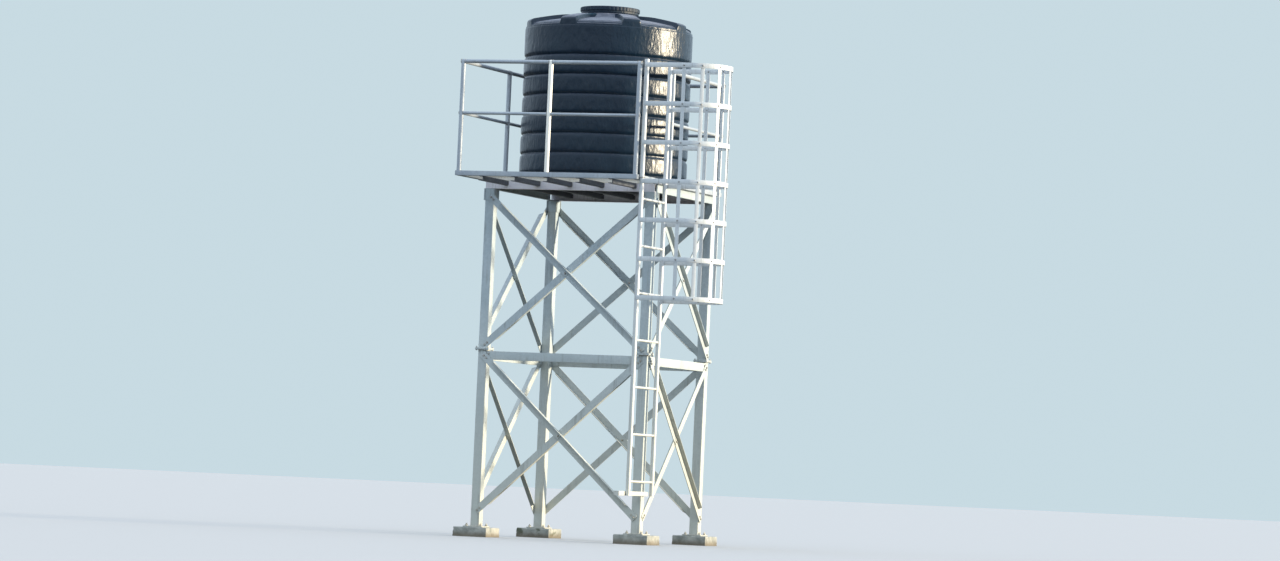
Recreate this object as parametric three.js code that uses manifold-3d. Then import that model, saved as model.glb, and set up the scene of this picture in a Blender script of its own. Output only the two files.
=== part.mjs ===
// Water tower: a ribbed plastic tank on a railed steel platform, four braced legs and a caged ladder.
// Millimetres, +Z up. The front looks along -Y and the ladder stands at the right end, +X, of the walkway.
import * as THREE from "three";
import { mergeVertices } from "three/addons/utils/BufferGeometryUtils.js";
import Module from "manifold-3d";

const wasm = await Module();
wasm.setup();

// Driving dimensions. Plan positions are taken from the tower's axis, heights from the ground.
const gap = 0.3;
const sink = 1;
const footing = { side: 380, height: 100, bevel: 14 };
const leg = { spacing: 1800, section: 100, height: 3570 };
const footPlate = { side: 220, thick: 12 };
const belt = { centre: 1910, depth: 90, flange: 60, thick: 8 };
const brace = { width: 75, flange: 50, thick: 7, reach: 895, coped: 790, packer: 80 };
const panels = [
  { name: "lower", low: 267, high: 1923 },
  { name: "upper", low: 2007, high: 3593 },
];
const beam = { height: 85, width: 50 };
const joist = { count: 5, pitch: 360, depth: 50, width: 50 };
const edge = { upstand: 50, shelf: 65, thick: 5 };
const deck = { right: 1010, front: 1665, back: 968 };
const floorPlate = { thick: 6 };
const grating = { thick: 30 };
const rail = { postRadius: 24, topRadius: 21, midRadius: 17, topHeight: 4949, midHeight: 4409, sides: 10 };
const postInset = 30;
const sidePosts = { left: -349, right: -620 };
const ladder = {
  stileRadius: 24, rungRadius: 12.5, near: -1570, far: -870, foot: 505, top: 5000, sides: 12,
};
const rungs = { count: 7, first: 651, pitch: 485, sides: 8 };
const footBracket = { front: -1770, back: -920, top: 550, height: 45, thick: 6 };
const cage = {
  hoops: 7, lowest: 2540, pitch: 400, hoopWidth: 50, hoopThick: 6, straight: 416, steps: 14,
};
const strap = { count: 7, width: 40, thick: 6 };
const tank = {
  radius: 895, wall: 14, base: 3762, footInset: 33, ribs: 7, ribPitch: 208, lowestGroove: 3866, sides: 40,
};
const groove = { depth: 22, half: 16, bulge: 9 };
const shoulder = {
  start: 5420, inset: 4.5, bulge: 16, edgeRadius: 872, height: 5512, midRadius: 500, midHeight: 5584,
};
const manhole = { radius: 275, neckOuter: 300, neckTop: 5636, neckBase: 5602 };
const lid = {
  radius: 318, wall: 9, skirt: 20, rise: 14, thick: 18, crownRadius: 159, crownDrop: 3.5, top: 5690,
};
const lidHandle = { out: 140, angle: 206, length: 70, width: 24, height: 20, root: 28 };

// Levels and plan lines that follow from them.
const legFoot = footing.height + gap;
const legTop = footing.height + leg.height;
const legLine = leg.spacing / 2;
const legFace = legLine + leg.section / 2;
const beamBase = legTop + gap;
const beamTop = beamBase + beam.height;
const edgeBase = beamTop - sink;
const shelfTop = edgeBase + edge.thick;
const edgeTop = edgeBase + edge.upstand;
const shelfInner = deck.right - edge.shelf;
const postSide = deck.right - postInset;
const postFront = -deck.front + postInset;
const postBack = deck.back - postInset;
const postBase = shelfTop + gap;
const stileFlat = ladder.stileRadius * Math.cos(Math.PI / ladder.sides);
const stileLine = deck.right + gap + stileFlat;
const hoopInner = (ladder.far - ladder.near) / 2 + stileFlat + gap;
const cageMiddle = (ladder.far + ladder.near) / 2;
const cageRound = stileLine + cage.straight;
const cageReach = cageRound + hoopInner + cage.hoopThick;
const footingReach = legLine + footing.side / 2;

const steel = { color: 0xc9ced0, roughness: 0.5, metalness: 0.35 };
const concrete = { color: 0x8d9188, roughness: 0.95, metalness: 0 };
const plastic = { color: 0x16181d, roughness: 0.35, metalness: 0 };

const tower = new THREE.Group();
tower.name = "water_tower";

// A closed three.js geometry as a solid that can be joined and cut.
function solid(geometry) {
  const shape = geometry.clone();
  shape.deleteAttribute("normal");
  shape.deleteAttribute("uv");
  const merged = mergeVertices(shape, 1e-3);
  return new wasm.Manifold(
    new wasm.Mesh({
      numProp: 3,
      vertProperties: new Float32Array(merged.attributes.position.array),
      triVerts: new Uint32Array(merged.index.array),
    }),
  );
}

function join(solids) {
  return solids.reduce((whole, next) => whole.add(next));
}

// A solid as a named mesh with a material of its own.
function addNode(name, shape, look) {
  const mesh = shape.getMesh();
  const geometry = new THREE.BufferGeometry();
  geometry.setAttribute("position", new THREE.BufferAttribute(mesh.vertProperties, 3));
  geometry.setIndex(new THREE.BufferAttribute(mesh.triVerts, 1));
  geometry.computeVertexNormals();
  const node = new THREE.Mesh(geometry, new THREE.MeshStandardMaterial(look));
  node.name = name;
  tower.add(node);
  return node;
}

// A box between two opposite corners.
function box(x0, x1, y0, y1, z0, z1) {
  const shape = new THREE.BoxGeometry(x1 - x0, y1 - y0, z1 - z0);
  shape.translate((x0 + x1) / 2, (y0 + y1) / 2, (z0 + z1) / 2);
  return solid(shape);
}

// A round bar from one point to another, turned so that it has flats above and below.
function bar(from, to, radius, sides) {
  const start = new THREE.Vector3(...from);
  const end = new THREE.Vector3(...to);
  const along = end.clone().sub(start);
  const shape = new THREE.CylinderGeometry(radius, radius, along.length(), sides);
  shape.rotateY(Math.PI / sides);
  shape.applyQuaternion(
    new THREE.Quaternion().setFromUnitVectors(new THREE.Vector3(0, 1, 0), along.normalize()),
  );
  const middle = start.add(end).multiplyScalar(0.5);
  shape.translate(middle.x, middle.y, middle.z);
  return solid(shape);
}

// A flat outline of [x, y] corners, extruded from z = 0 to the given length.
function prism(corners, length) {
  const outline = new THREE.Shape(corners.map(([x, y]) => new THREE.Vector2(x, y)));
  return solid(new THREE.ExtrudeGeometry(outline, { depth: length, bevelEnabled: false }));
}

// A solid of revolution about the tower's axis from a closed profile of [radius, height] corners.
function turned(profile, sides) {
  const points = profile.map(([radius, height]) => new THREE.Vector2(radius, height));
  const shape = new THREE.LatheGeometry(points, sides);
  shape.rotateX(Math.PI / 2);
  return solid(shape);
}

const corners = [
  { name: "front_left", x: -legLine, y: -legLine },
  { name: "front_right", x: legLine, y: -legLine },
  { name: "back_left", x: -legLine, y: legLine },
  { name: "back_right", x: legLine, y: legLine },
];

// A concrete block with a bevelled upper edge under each leg.
function addFootings() {
  const half = footing.side / 2;
  const inner = half - footing.bevel;
  const shoulderHeight = footing.height - footing.bevel;
  for (const corner of corners) {
    const profile = [
      [-half, 0],
      [half, 0],
      [half, shoulderHeight],
      [inner, footing.height],
      [-inner, footing.height],
      [-half, shoulderHeight],
    ];
    const across = prism(profile, footing.side).translate([0, 0, -half]).rotate([90, 0, 0]);
    const along = across.rotate([0, 0, 90]);
    addNode("footing_" + corner.name, across.intersect(along).translate([corner.x, corner.y, 0]), concrete);
  }
}

// A square leg on its foot plate.
function addLegs() {
  const half = leg.section / 2;
  const plate = footPlate.side / 2;
  for (const { name, x, y } of corners) {
    const post = box(x - half, x + half, y - half, y + half, legFoot, legTop);
    const foot = box(x - plate, x + plate, y - plate, y + plate, legFoot, legFoot + footPlate.thick);
    addNode("leg_" + name, post.add(foot), steel);
  }
}

// The four sides of the tower, each by the turn that brings the front side round to it.
const sides = [
  { name: "front", turn: 0 },
  { name: "right", turn: 90 },
  { name: "back", turn: 180 },
  { name: "left", turn: 270 },
];

// An angle section belt between two legs at half height, its flange turned inwards at the top.
function addBelts() {
  const half = legLine - leg.section / 2 - gap;
  const top = belt.centre + belt.depth / 2;
  for (const side of sides) {
    const web = box(-half, half, -legFace, -legFace + belt.thick, top - belt.depth, top);
    const flange = box(-half, half, -legFace, -legFace + belt.flange, top - belt.thick, top);
    addNode("belt_" + side.name, web.add(flange).rotate([0, 0, side.turn]), steel);
  }
}

// One brace of angle section from low left to high right of a side, mirrored for the other one.
// The inner brace lies on the legs with its flange inwards, the outer one on packers, flange outwards.
function braceBar(panel, outer) {
  const rise = panel.high - panel.low;
  const run = brace.reach * 2;
  const length = Math.hypot(rise, run);
  const tilt = (Math.atan2(rise, run) * 180) / Math.PI;
  const middle = (panel.low + panel.high) / 2;
  const half = brace.width / 2;
  const cope = (brace.coped * length) / run;
  const lean = ([s0, s1], [n0, n1], [w0, w1]) => box(s0, s1, -n1, -n0, w0, w1);
  const inset = outer ? brace.thick + 2 * gap : gap;
  const flat = lean([-length / 2, length / 2], [inset, inset + brace.thick], [-half, half]);
  const face = inset + brace.thick;
  const flange = outer
    ? lean([-cope, cope], [inset, inset + brace.flange], [half - brace.thick, half])
    : lean([-cope, cope], [face - brace.flange, face], [-half, brace.thick - half]);
  const packed = [gap, inset + sink];
  const packers = [
    lean([-length / 2, brace.packer - length / 2], packed, [-half, half]),
    lean([length / 2 - brace.packer, length / 2], packed, [-half, half]),
  ];
  const pieces = outer ? [flat, flange, ...packers] : [flat, flange];
  return join(pieces).rotate([0, -tilt, 0]).translate([0, -legFace, middle]);
}

function addBraces() {
  for (const side of sides) {
    for (const panel of panels) {
      const inner = braceBar(panel, false).rotate([0, 0, side.turn]);
      const outer = braceBar(panel, true).mirror([1, 0, 0]).rotate([0, 0, side.turn]);
      addNode("brace_" + side.name + "_" + panel.name + "_inner", inner, steel);
      addNode("brace_" + side.name + "_" + panel.name + "_outer", outer, steel);
    }
  }
}

// The side beams on the leg tops, between the front and back beams of the platform frame.
function addSideBeams() {
  const reach = legFace - beam.width - gap;
  const top = edgeBase - gap;
  addNode("main_beam_left", box(-legFace, -legFace + beam.width, -reach, reach, beamBase, top), steel);
  addNode("main_beam_right", box(legFace - beam.width, legFace, -reach, reach, beamBase, top), steel);
}

// The welded platform frame: front and back beams, joists that run on under the walkway, and an edge angle.
function addPlatformFrame() {
  const pieces = [
    box(-legFace, legFace, -legFace, -legFace + beam.width, beamBase, beamTop),
    box(-legFace, legFace, legFace - beam.width, legFace, beamBase, beamTop),
  ];
  const joistFront = -deck.front + edge.thick;
  const joistBase = beamTop - joist.depth;
  for (let i = 0; i < joist.count; i++) {
    const x = (i - (joist.count - 1) / 2) * joist.pitch;
    const half = joist.width / 2;
    pieces.push(box(x - half, x + half, joistFront, legFace - sink, joistBase, beamTop));
  }
  const outer = box(-deck.right, deck.right, -deck.front, deck.back, edgeBase, edgeTop);
  const inside = box(-deck.right + edge.thick, deck.right - edge.thick, -deck.front + edge.thick,
    deck.back - edge.thick, shelfTop, edgeTop + edge.thick);
  const hole = box(-shelfInner, shelfInner, -deck.front + edge.shelf, deck.back - edge.shelf,
    edgeBase - edge.thick, edgeTop);
  pieces.push(outer.subtract(inside).subtract(hole));
  addNode("platform_frame", join(pieces), steel);
}

// The plate under the tank and the grating of the walkway in front of it, both inside the edge angle.
function addDeck() {
  const side = shelfInner - gap;
  const base = beamTop + gap;
  addNode("deck_plate",
    box(-side, side, -legFace, deck.back - edge.shelf - gap, base, base + floorPlate.thick), steel);
  addNode("walkway_grating",
    box(-side, side, -deck.front + edge.shelf + gap, -legFace - gap, base, base + grating.thick), steel);
}

// A post with a rounded head.
function post(x, y) {
  const shaft = bar([x, y, postBase], [x, y, rail.topHeight], rail.postRadius, rail.sides);
  const head = new THREE.SphereGeometry(rail.postRadius, rail.sides, rail.sides / 2);
  head.rotateX(Math.PI / 2);
  head.rotateZ(Math.PI / rail.sides);
  head.translate(x, y, rail.topHeight);
  return shaft.add(solid(head));
}

// The top and middle rails between two points in plan.
function railPair(from, to) {
  return [
    bar([...from, rail.topHeight], [...to, rail.topHeight], rail.topRadius, rail.sides),
    bar([...from, rail.midHeight], [...to, rail.midHeight], rail.midRadius, rail.sides),
  ];
}

function addGuardRails() {
  const clear = rail.postRadius + gap;
  for (const [name, y] of [["front", postFront], ["back", postBack]]) {
    const posts = [-postSide, 0, postSide].map((x) => post(x, y));
    addNode("guard_rail_" + name, join([...posts, ...railPair([-postSide, y], [postSide, y])]), steel);
  }
  const left = railPair([-postSide, postFront + clear], [-postSide, postBack - clear]);
  addNode("guard_rail_left", join([post(-postSide, sidePosts.left), ...left]), steel);
  const right = railPair([postSide, sidePosts.right], [postSide, postBack - clear]);
  addNode("guard_rail_right", join([post(postSide, sidePosts.right), ...right]), steel);
}

// Two round stiles with rungs between them, from the foot bracket to the top of the cage.
function addLadder() {
  const pieces = [ladder.near, ladder.far].map((y) =>
    bar([stileLine, y, ladder.foot], [stileLine, y, ladder.top], ladder.stileRadius, ladder.sides),
  );
  for (let i = 0; i < rungs.count; i++) {
    const z = rungs.first + i * rungs.pitch;
    const ends = [ladder.near, ladder.far].map((y) => [stileLine, y, z]);
    pieces.push(bar(...ends, ladder.rungRadius, rungs.sides));
  }
  addNode("ladder", join(pieces), steel);
}

// A channel, flanges down, that runs out from the front right leg to the near stile's foot.
function addFootBracket() {
  const inner = legFace + gap;
  const outer = deck.right;
  const { front, back, top, height, thick } = footBracket;
  const whole = box(inner, outer, front, back, top - height, top);
  const hollow = box(inner + thick, outer - thick, front - gap, back + gap,
    top - height - gap, top - thick);
  addNode("ladder_foot_bracket", whole.subtract(hollow), steel);
}

// A U-shaped outline at a distance from the cage's middle line, from one stile round to the other.
function cageOutline(distance) {
  const outline = [[stileLine, cageMiddle - distance]];
  for (let i = 0; i <= cage.steps; i++) {
    const turn = -Math.PI / 2 + (Math.PI * i) / cage.steps;
    outline.push([cageRound + distance * Math.cos(turn), cageMiddle + distance * Math.sin(turn)]);
  }
  outline.push([stileLine, cageMiddle + distance]);
  return outline;
}

// The hoops and the straight straps that line them.
function addCage() {
  const outline = [...cageOutline(hoopInner + cage.hoopThick), ...cageOutline(hoopInner).reverse()];
  const pieces = [];
  for (let i = 0; i < cage.hoops; i++) {
    const base = cage.lowest + i * cage.pitch - cage.hoopWidth / 2;
    pieces.push(prism(outline, cage.hoopWidth).translate([0, 0, base]));
  }
  const low = cage.lowest - cage.hoopWidth / 2;
  const high = cage.lowest + (cage.hoops - 1) * cage.pitch + cage.hoopWidth / 2;
  const outer = hoopInner + sink;
  for (let i = 0; i < strap.count; i++) {
    const turn = -90 + (180 * i) / (strap.count - 1);
    const half = strap.width / 2;
    const upright = box(outer - strap.thick, outer, -half, half, low, high);
    pieces.push(upright.rotate([0, 0, turn]).translate([cageRound, cageMiddle, 0]));
  }
  addNode("ladder_cage", join(pieces), steel);
}

// The tank's outer profile from its foot up: a groove below each bulging band.
function tankProfile() {
  const profile = [[tank.radius - groove.depth, tank.base + floorPlate.thick]];
  for (let i = 0; i < tank.ribs; i++) {
    const low = tank.lowestGroove + i * tank.ribPitch;
    const high = i === tank.ribs - 1 ? shoulder.start : low + tank.ribPitch;
    profile.push([tank.radius - groove.bulge, low - groove.half]);
    profile.push([tank.radius - groove.depth, low]);
    profile.push([tank.radius - groove.bulge, low + groove.half]);
    profile.push([tank.radius, (low + high) / 2]);
  }
  profile.push([tank.radius - shoulder.inset, shoulder.start]);
  return profile;
}

// The tank as a floor, a ribbed wall open at both ends, a domed roof with its neck, and the manhole lid.
function addTank() {
  const inner = tank.radius - groove.depth - tank.wall;
  const floorTop = tank.base + tank.wall;
  const floorRadius = inner - gap;
  addNode("tank_bottom", turned([[0, tank.base], [floorRadius, tank.base], [floorRadius, floorTop],
    [0, floorTop]], tank.sides), plastic);
  const wall = [[inner, tank.base], [tank.radius - tank.footInset, tank.base], ...tankProfile(),
    [inner, shoulder.start], [inner, tank.base]];
  addNode("tank_wall", turned(wall, tank.sides), plastic);
  const base = shoulder.start + gap;
  const roof = [
    [inner, base],
    [tank.radius - shoulder.inset, base],
    [(tank.radius + shoulder.edgeRadius) / 2, (base + shoulder.height) / 2 + shoulder.bulge],
    [shoulder.edgeRadius, shoulder.height],
    [shoulder.midRadius, shoulder.midHeight],
    [manhole.neckOuter, manhole.neckBase],
    [manhole.neckOuter, manhole.neckTop],
    [manhole.radius, manhole.neckTop],
    [manhole.radius, manhole.neckBase - tank.wall],
    [shoulder.midRadius, shoulder.midHeight - tank.wall],
    [inner, shoulder.height - tank.wall],
    [inner, base],
  ];
  addNode("tank_roof", turned(roof, tank.sides), plastic);
}

// A lid with a skirt round the neck and a low handle.
function addLid() {
  const skirtInner = lid.radius - lid.wall;
  const under = manhole.neckTop + gap;
  const skirtBase = manhole.neckTop - lid.skirt;
  const profile = [
    [0, under],
    [skirtInner, under],
    [skirtInner, skirtBase],
    [lid.radius, skirtBase],
    [lid.radius, lid.top - lid.rise - lid.thick],
    [lid.radius - lid.rise, lid.top - lid.rise],
    [lid.crownRadius, lid.top - lid.crownDrop],
    [0, lid.top],
  ];
  const turn = lidHandle.angle;
  const half = lidHandle.length / 2;
  const handle = box(-lidHandle.width / 2, lidHandle.width / 2, -half, half, lid.top - lidHandle.root,
    lid.top + lidHandle.height);
  const placed = handle.translate([lidHandle.out, 0, 0]).rotate([0, 0, turn]);
  addNode("manhole_lid", turned(profile, tank.sides).add(placed), plastic);
}

addFootings();
addLegs();
addBelts();
addBraces();
addSideBeams();
addPlatformFrame();
addDeck();
addGuardRails();
addLadder();
addFootBracket();
addCage();
addTank();
addLid();

// The part's frame has its origin under the middle of its whole extent.
tower.position.set((footingReach - cageReach) / 2, -(footingReach + footBracket.front) / 2, 0);

export default tower;
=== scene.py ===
import bmesh
import bpy
import numpy as np
from mathutils import Matrix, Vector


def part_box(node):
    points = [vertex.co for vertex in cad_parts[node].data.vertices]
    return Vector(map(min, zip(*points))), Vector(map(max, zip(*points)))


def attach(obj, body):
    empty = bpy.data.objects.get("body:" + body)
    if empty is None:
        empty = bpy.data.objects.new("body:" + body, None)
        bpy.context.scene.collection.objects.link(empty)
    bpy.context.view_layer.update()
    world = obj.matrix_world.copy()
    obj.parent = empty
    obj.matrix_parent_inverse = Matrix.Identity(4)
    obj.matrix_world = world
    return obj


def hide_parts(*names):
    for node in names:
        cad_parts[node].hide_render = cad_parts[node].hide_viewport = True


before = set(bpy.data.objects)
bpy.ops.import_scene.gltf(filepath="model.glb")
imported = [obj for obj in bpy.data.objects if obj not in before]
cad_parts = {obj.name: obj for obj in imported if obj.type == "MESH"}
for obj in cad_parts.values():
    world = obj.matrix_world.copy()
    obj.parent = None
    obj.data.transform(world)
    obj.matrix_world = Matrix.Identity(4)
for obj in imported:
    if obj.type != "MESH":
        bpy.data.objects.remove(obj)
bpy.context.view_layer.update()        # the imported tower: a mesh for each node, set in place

print("frame:", len(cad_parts), "nodes")

# Plan positions below are taken from the tower's own axis, halfway between opposite legs.
axis = np.add(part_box("leg_front_left")[0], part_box("leg_back_right")[1]) / 2 * [1, 1, 0]


def placed(node):
    # lowest and highest corner of a node, from the tower's axis
    return np.array(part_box(node)) - axis


def arrays(*values):
    return [np.array(value, float) for value in values]


def newObject(name, data):
    item = bpy.data.objects.new(name, data)
    bpy.context.scene.collection.objects.link(item)
    return item


def placeObject(name, data, across, along, out, place):
    # an object whose own x, y and z axes point in the three given directions
    item = newObject(name, data)
    turn = np.eye(4)
    turn[:3] = np.stack([across, along, out, place], -1)
    item.matrix_world = Matrix(turn.tolist())
    return item


# Camera: where the photograph was taken from, as angles in degrees and metres from the tower's axis.
cameraPlace = {"turn": 20.94, "distance": 50.86, "eye": 0.626, "pan": 0.504, "tilt": 2.441, "roll": 2.572,
               "lens": 134.34, "sensor": 36.0, "nearest": 0.5, "furthest": 800.0}


def turnPair(a, b, degrees):
    # two directions turned in their own plane: a cos t + b sin t, b cos t - a sin t
    t = np.radians(degrees)
    return a * np.cos(t) + b * np.sin(t), b * np.cos(t) - a * np.sin(t)


def makeCamera(place):
    t = np.radians(place["turn"])
    ahead, right, up = arrays([-np.sin(t), np.cos(t), 0], [np.cos(t), np.sin(t), 0], [0, 0, 1])
    eye = axis - ahead * place["distance"] + up * place["eye"]
    ahead, right = turnPair(ahead, right, place["pan"])
    ahead, up = turnPair(ahead, up, place["tilt"])
    right, up = turnPair(right, up, place["roll"])
    data = bpy.data.cameras.new("photoCamera")
    data.lens, data.sensor_width = place["lens"], place["sensor"]
    data.clip_start, data.clip_end = place["nearest"], place["furthest"]
    bpy.context.scene.camera = placeObject("photoCamera", data, right, up, -ahead, eye)


makeCamera(cameraPlace)
print("camera set")


# Shapes. A shape is its points and a list of face arrays, and several are stacked into one piece.
def surface(points, wrapU=False, wrapV=False):
    # points[u, v] on a grid: each face joins a point to the next ones in u and in v
    countU, countV = points.shape[:2]
    i, j = np.indices((countU - (not wrapU), countV - (not wrapV)))
    nextI, nextJ = (i + 1) % countU, (j + 1) % countV
    quads = np.stack([i * countV + j, nextI * countV + j, nextI * countV + nextJ, i * countV + nextJ], -1)
    return points.reshape(-1, 3), [quads.reshape(-1, 4)]


def stack(shapes):
    # all points in one array, each face's numbers moved on by the points before it
    points, faces, before = [], [], 0
    for shapePoints, shapeFaces in shapes:
        points.append(shapePoints)
        faces += [f + before for f in shapeFaces]
        before += len(shapePoints)
    return np.concatenate(points), faces


def unit(v):
    v = np.asarray(v, float)
    return v / np.linalg.norm(v, axis=-1, keepdims=True)


def sidesOf(direction):
    # two directions square to each given one, the first of them level where it can be
    steep = np.abs(direction[..., 2:]) > 0.95
    first = unit(np.cross(np.where(steep, [0.0, 1.0, 0.0], [0.0, 0.0, 1.0]), direction))
    return first, np.cross(direction, first)


def wholeTurn(count):
    return np.arange(count) * 2 * np.pi / count


def circle(turn):
    # directions in plan at each angle: (cos t, sin t, 0)
    return np.stack([np.cos(turn), np.sin(turn), 0 * turn], -1)


def roundCorners(corners, radius, steps=3):
    # each corner c becomes the curve (1-t)^2 a + 2t(1-t) c + t^2 b, a and b one radius before and after it
    c = np.array(corners, float)
    r = np.broadcast_to(np.array(radius, float), (len(c),))[:, None]
    a = c + unit(np.roll(c, 1, 0) - c) * r
    b = c + unit(np.roll(c, -1, 0) - c) * r
    t = np.linspace(0, 1, steps + 1)[None, :, None]
    curve = (1 - t) ** 2 * a[:, None] + 2 * t * (1 - t) * c[:, None] + t ** 2 * b[:, None]
    return curve.reshape(-1, 2)


def rectangle(width, height, radius=0.0):
    # a rectangle about its middle, its corners rounded when a radius is given
    w, h = width / 2, height / 2
    corners = [(-w, -h), (w, -h), (w, h), (-w, h)]
    return roundCorners(corners, radius) if radius else np.array(corners)


def capped(shape, count):
    # closes both ends of a length whose rings have this many points
    points, faces = shape
    ring = np.arange(count)
    return points, faces + [ring[None, ::-1], ring[None] + len(points) - count]


def carried(outline, path, across, upright=(0, 0, 1), closed=False):
    # an outline [side, height] along a path: place + side * across + height * upright, its ends closed
    path, across, upright = arrays(path, across, upright)
    across, upright = [v[:, None] if v.ndim == 2 else v for v in (across, upright)]
    points = path[:, None] + outline[None, :, :1] * across + outline[None, :, 1:] * upright
    shape = surface(points, wrapU=closed, wrapV=True)
    return shape if closed else capped(shape, len(outline))


def slab(low, high, radius=0.0):
    # a plate or block between two corners, its upright edges rounded when a radius is given
    low, high = arrays(low, high)
    x, y = (low[:2] + high[:2]) / 2
    path = [[x, y, low[2]], [x, y, high[2]]]
    return carried(rectangle(*(high - low)[:2], radius), path, [1, 0, 0], [0, 1, 0])


def spun(profile, sides, start=(0, 0, 0), direction=(0, 0, 1)):
    # a profile [along, radius] turned round a line: start + along * direction + radius * (cos a, sin a)
    profile, start = arrays(profile, start)
    direction = unit(direction)
    first, second = sidesOf(direction)
    turn = (np.arange(sides)[:, None] + 0.5) * 2 * np.pi / sides
    ring = np.cos(turn) * first + np.sin(turn) * second
    points = start + profile[None, :, :1] * direction + profile[None, :, 1:] * ring[:, None]
    return surface(points, wrapU=True)


def tube(start, end, radius, sides):
    # a round bar with flat ends
    start, end = arrays(start, end)
    length = np.linalg.norm(end - start)
    return spun([[0, 0], [0, radius], [length, radius], [length, 0]], sides, start, end - start)


def copies(shape, places, normals, first=None):
    # the shape at each place, its z axis laid along the normal and its x axis along first
    points, faces = shape
    places = np.array(places, float)
    normals = unit(np.broadcast_to(normals, places.shape))
    side = sidesOf(normals)[0] if first is None else unit(np.broadcast_to(first, places.shape))
    other = np.cross(normals, side)
    turned = (points[None, :, :1] * side[:, None] + points[None, :, 1:2] * other[:, None]
              + points[None, :, 2:] * normals[:, None])
    number = np.arange(len(places))[:, None, None] * len(points)
    moved = [(f[None] + number).reshape(-1, f.shape[1]) for f in faces]
    return (turned + places[:, None]).reshape(-1, 3), moved


def lumps(points, size, seed, waves=9):
    # smooth noise, mostly between -1 and 1: a scaled sum of sine waves with random directions and phases
    rng = np.random.default_rng(seed)
    direction = unit(rng.normal(size=(waves, 3))) * rng.uniform(0.6, 1.7, (waves, 1)) * 2 * np.pi / size
    phase = rng.uniform(0, 2 * np.pi, waves)
    return np.sin(points @ direction.T + phase).sum(-1) / np.sqrt(waves) / 1.6


rolled = 0.0004        # how far the edges of rolled steel are taken off


def makePiece(name, shapes, material, slot, replaces=(), body="tower", bevel=0.0, sharp=28.0):
    points, faces = stack(shapes)
    mesh = bpy.data.meshes.new(name)
    mesh.from_pydata((points + axis).tolist(), [], [f for array in faces for f in array.tolist()])
    work = bmesh.new()
    work.from_mesh(mesh)
    bmesh.ops.remove_doubles(work, verts=work.verts, dist=2e-6)
    bmesh.ops.dissolve_degenerate(work, edges=work.edges, dist=1e-6)
    bmesh.ops.recalc_face_normals(work, faces=work.faces)
    if bevel:
        square = [e for e in work.edges if e.is_manifold and e.calc_face_angle() > np.radians(50)]
        bmesh.ops.bevel(work, geom=square, offset=bevel, segments=1, profile=0.5, affect="EDGES")
    work.to_mesh(mesh)
    work.free()
    mesh.shade_smooth()
    mesh.set_sharp_from_angle(angle=np.radians(sharp))
    mesh.materials.append(material)
    piece = newObject(name, mesh)
    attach(piece, body)
    if replaces:
        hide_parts(*replaces)


def dressNode(node, shapes, material, slot, **finish):
    # a piece that stands for one node and has its name: leg_front_left becomes legFrontLeft
    first, *rest = node.split("_")
    makePiece(first + "".join(word.capitalize() for word in rest), shapes, material, slot, [node], **finish)


# Node helpers. A value is a number, a colour of three numbers, or another node's socket.
def feed(tree, socket, value):
    if isinstance(value, bpy.types.NodeSocket):
        tree.links.new(value, socket)
    else:
        socket.default_value = (*value, 1) if socket.type == "RGBA" else value


def putNode(tree, kind, inputs=None, **settings):
    node = tree.nodes.new("ShaderNode" + kind)
    for key, value in settings.items():
        setattr(node, key, value)
    for key, value in (inputs or {}).items():
        feed(tree, node.inputs[key], value)
    return node


def objectPoint(tree, stretch=(1.0, 1.0, 1.0)):
    # the place on the object in metres, stretched before a pattern reads it
    place = putNode(tree, "TexCoord").outputs["Object"]
    return putNode(tree, "Mapping", {"Vector": place, "Scale": stretch}).outputs["Vector"]


def noise(tree, scale, detail=2.0, stretch=(1.0, 1.0, 1.0), rough=0.5):
    inputs = {"Vector": objectPoint(tree, stretch), "Scale": scale, "Detail": detail, "Roughness": rough}
    return putNode(tree, "TexNoise", inputs).outputs["Fac"]


def cells(tree, scale):
    # distance to the nearest of many scattered points
    return putNode(tree, "TexVoronoi", {"Vector": objectPoint(tree), "Scale": scale}).outputs["Distance"]


def maths(tree, operation, first, second, clamp=False):
    return putNode(tree, "Math", {0: first, 1: second}, operation=operation, use_clamp=clamp).outputs[0]


def plus(tree, first, second, clamp=False):
    return maths(tree, "ADD", first, second, clamp)


def less(tree, first, second):
    return maths(tree, "SUBTRACT", first, second)


def times(tree, first, second):
    return maths(tree, "MULTIPLY", first, second)


def upPart(tree, vector):
    return putNode(tree, "SeparateXYZ", {0: vector}).outputs["Z"]


def ramped(tree, value, low, high):
    # 0 below low, 1 above high, smooth between
    inputs = {"Value": value, "From Min": low, "From Max": high}
    return putNode(tree, "MapRange", inputs, interpolation_type="SMOOTHSTEP").outputs["Result"]


def mixed(tree, amount, first, second):
    return putNode(tree, "Mix", {0: amount, 6: first, 7: second}, data_type="RGBA").outputs[2]


def layered(tree, colour, layers):
    # each colour laid over the ones before it, as strongly as its mask
    for mask, over in layers:
        colour = mixed(tree, mask, colour, over)
    return colour


# Node groups. Each is an effect that several finishes share, built once and placed with its own values.
def newGroup(name, inputs, outputs):
    tree = bpy.data.node_groups.new(name, "ShaderNodeTree")
    for label, value in inputs.items():
        tree.interface.new_socket(label, in_out="INPUT", socket_type="NodeSocketFloat").default_value = value
    for label in outputs:
        tree.interface.new_socket(label, in_out="OUTPUT", socket_type="NodeSocketFloat")
    return tree, tree.nodes.new("NodeGroupInput").outputs, tree.nodes.new("NodeGroupOutput").inputs


def streakGroup():
    # long marks that run down a wall: fine noise drawn out along z, and broken up by a coarser noise
    tree, given, out = newGroup("runningStreaks", {"Scale": 30.0, "Low": 0.52, "High": 0.75, "Break": 6.0},
                                ["Mask"])
    marks = noise(tree, given["Scale"], 4.0, (1.0, 1.0, 0.035), 0.6)
    breaks = ramped(tree, noise(tree, given["Break"], 3.0), 0.38, 0.62)
    tree.links.new(times(tree, ramped(tree, marks, given["Low"], given["High"]), breaks), out["Mask"])
    return tree


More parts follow.
